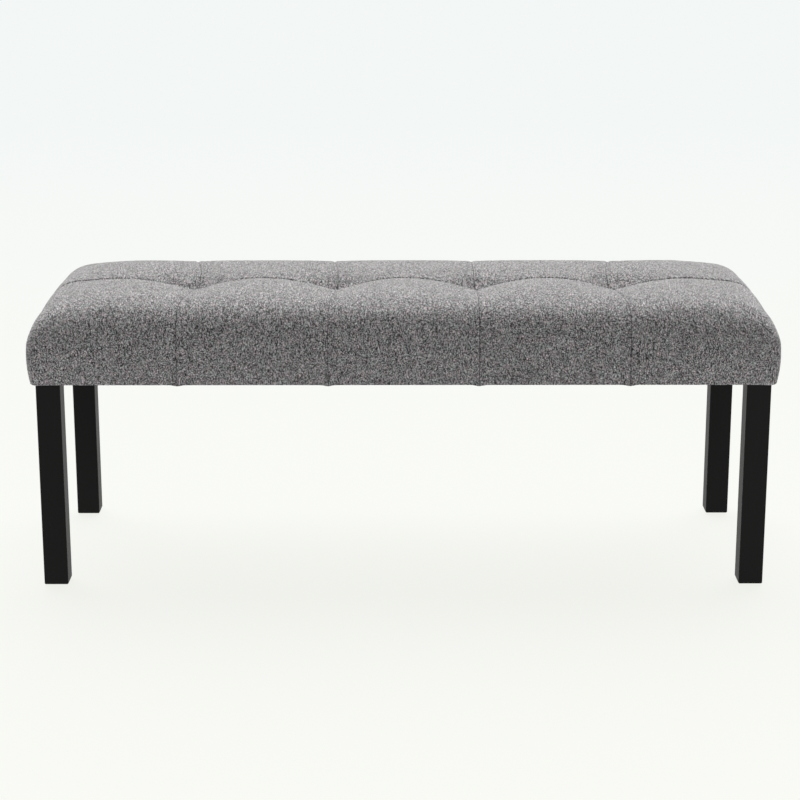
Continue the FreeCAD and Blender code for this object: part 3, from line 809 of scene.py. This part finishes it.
def cover_cloth():
    """Melange plain weave: light and dark yarns crossing, each changing shade along its run, with painted
    shade in the seams' folds.
    """
    sheen = {"Sheen_Weight": 0.35, "Sheen_Roughness": 0.45, "Sheen_Tint": rgba(1)}
    f = Finish("cover_cloth", Roughness=0.9, Specular_IOR_Level=0.15, **sheen)
    cloth = f.node("UVMap", uv_map="cloth").outputs[0]
    at = f.node("SeparateXYZ", {0: cloth})
    x, y = at.outputs[0], at.outputs[1]
    wander = f.math("MULTIPLY", f.math("SUBTRACT", f.noise(cloth, WANDER_SCALE, 2.0), 0.5), WANDER)
    u = f.math("DIVIDE", f.math("ADD", x, wander), YARN)
    v = f.math("DIVIDE", f.math("ADD", y, wander), YARN)
    yarn = f.ramp(yarn_shade(f, u, v), *YARN_SHADES)
    tint = f.ramp(f.noise(cloth, TINT_SCALE, 3.0, 0.7), *TINTS)
    colour = f.mix(1.0, yarn, tint, "MULTIPLY")
    # Painted shade: the base colour is darkened in the seams' folds, where the grooves' shade falls
    f.give(f.shader, {"Base Color": f.mix(painted_seam_shade(f, x, y), colour, rgba(SEAM_SHADOW_COLOUR))})
    round_u = f.math("SINE", f.math("MULTIPLY", f.math("FRACT", u), math.pi))
    round_v = f.math("SINE", f.math("MULTIPLY", f.math("FRACT", v), math.pi))
    f.give(f.shader, {"Normal": f.bump(f.math("MULTIPLY", round_u, round_v), 0.0003, 0.6)})
    return f.material


def black_wood():
    """Black stain under a satin lacquer, with a faint upright grain."""
    f = Finish("leg_wood", Specular_IOR_Level=0.18)
    grain = f.noise(f.stretched(f.place(), (60.0, 60.0, 3.0)), 4.0, 6.0, 0.6)
    stain = f.ramp(grain, (0.3, (0.0022, 0.0022, 0.0022)), (0.7, (0.0042, 0.0040, 0.0040)))
    lacquer = f.math("ADD", 0.42, f.math("MULTIPLY", grain, 0.12))
    f.give(f.shader, {"Base Color": stain, "Roughness": lacquer, "Normal": f.bump(grain, 0.0001, 0.3)})
    return f.material


def raw_wood(name, light, dark, stretch):
    """Sawn timber or veneer with its grain along the board."""
    f = Finish(name, Roughness=0.75, Specular_IOR_Level=0.2)
    grain = f.noise(f.stretched(f.place(), stretch), 5.0, 5.0, 0.6)
    colour = f.ramp(grain, (0.3, dark), (0.7, light))
    f.give(f.shader, {"Base Color": colour, "Normal": f.bump(grain, 0.0003)})
    return f.material


def flecked(name, light, dark, scale, roughness, metallic=0.0, bump=0.0001):
    """A plain finish with fine mottling: moulded plastic, zinc, twine or felt."""
    f = Finish(name, Roughness=roughness, Metallic=metallic)
    spots = f.noise(f.place(), scale, 3.0, 0.6)
    colour = f.ramp(spots, (0.35, dark), (0.65, light))
    f.give(f.shader, {"Base Color": colour, "Normal": f.bump(spots, bump)})
    return f.material


def finishes():
    """Every finish but the cover's, by its material slot."""
    return {
        "leg_wood": black_wood(),
        "frame_wood": raw_wood("frame_wood", (0.62, 0.45, 0.27), (0.47, 0.31, 0.17), (4.0, 60.0, 60.0)),
        "deck_plywood": raw_wood("deck_plywood", (0.66, 0.50, 0.31), (0.52, 0.36, 0.20), (3.0, 40.0, 500.0)),
        "glide_plastic": flecked("glide_plastic", 0.03, 0.018, 900, 0.45),
        "zinc_steel": flecked("zinc_steel", (0.66, 0.66, 0.62), (0.50, 0.51, 0.50), 300, 0.35, metallic=1.0),
        "washer_plastic": flecked("washer_plastic", (0.78, 0.78, 0.74), (0.70, 0.70, 0.66), 500, 0.5),
        "twine": flecked("twine", (0.80, 0.76, 0.64), (0.58, 0.52, 0.40), 1500, 0.85, bump=0.0003),
        "dust_cloth": flecked(
            "dust_cloth", (0.030, 0.030, 0.031), (0.012, 0.012, 0.013), 1400, 0.95, bump=0.0004
        ),
    }


def dress_nodes(made):
    """The CAD pieces that stay get the finish of their material slot."""
    slots = {part["node"]: part["material_slot"] for part in frame["record"]["subparts"]}
    for name, thing in frame["nodes"].items():
        if slots.get(name) in made:
            thing.data.materials.clear()
            thing.data.materials.append(made[slots[name]])


# Studio


def camera():
    """The photograph's view: a long lens from in front and above, its picture shifted a little."""
    lens = bpy.data.cameras.new("camera")
    lens.sensor_width = SENSOR_WIDTH
    lens.lens = FOCAL_PIXELS / PICTURE_PIXELS * SENSOR_WIDTH
    lens.shift_y = -SHIFT_PIXELS / PICTURE_PIXELS
    lens.clip_end = CLIP_END
    eye = added("camera", lens)
    eye.location = CAMERA_PLACE
    eye.rotation_euler = (math.pi / 2 - CAMERA_PITCH, 0, CAMERA_TURN)
    bpy.context.scene.camera = eye


def floor():
    """A pale floor that glows towards white and still takes a soft shadow."""
    half = FLOOR_SPAN / 2
    corners = [(-half, -half, 0), (half, -half, 0), (half, half, 0), (-half, half, 0)]
    mesh = bpy.data.meshes.new("floor")
    mesh.from_pydata(corners, [], [(0, 1, 2, 3)])
    f = Finish("floor")
    bounce = f.node("BsdfDiffuse", {"Color": rgba(FLOOR_BOUNCE)})
    shadowed = f.node("BsdfDiffuse", {"Color": rgba(FLOOR_SHADOW)})
    away = f.math("DIVIDE", f.node("SeparateXYZ", {0: f.place()}).outputs[1], FAR_FLOOR)
    glow = f.node("Emission", {"Color": f.ramp(away, (0, FLOOR_GLOW), (1, FAR_FLOOR_GLOW))})
    pale = f.node("AddShader", {0: shadowed.outputs[0], 1: glow.outputs[0]})
    f.show("Material Output", bounce, pale)
    mesh.materials.append(f.material)
    added("floor", mesh)


def world():
    """A pale backdrop that lights the bench only a little."""
    made = bpy.data.worlds.new("studio")
    made.use_nodes = True
    bpy.context.scene.world = made
    nodes = Nodes(made.node_tree)
    fill = nodes.tree.nodes["Background"]
    nodes.give(fill, {"Color": rgba(1), "Strength": FILL_LIGHT})
    backdrop = nodes.node("Background", {"Color": rgba(BACKDROP_WHITE), "Strength": 1.0})
    nodes.show("World Output", fill, backdrop)


def overhead_light():
    """A wide soft light from above, tilted to come from behind the bench."""
    lamp = bpy.data.lights.new("overhead", "SUN")
    lamp.energy = SUN_STRENGTH
    lamp.angle = SUN_ANGLE
    added("overhead", lamp).rotation_euler = (-SUN_TILT, 0, 0)


camera()
floor()
world()
overhead_light()
bpy.context.scene.view_settings.view_transform = "Standard"

made = finishes()
dress_nodes(made)
cushion()
dust_cover(made["dust_cloth"], made["zinc_steel"])
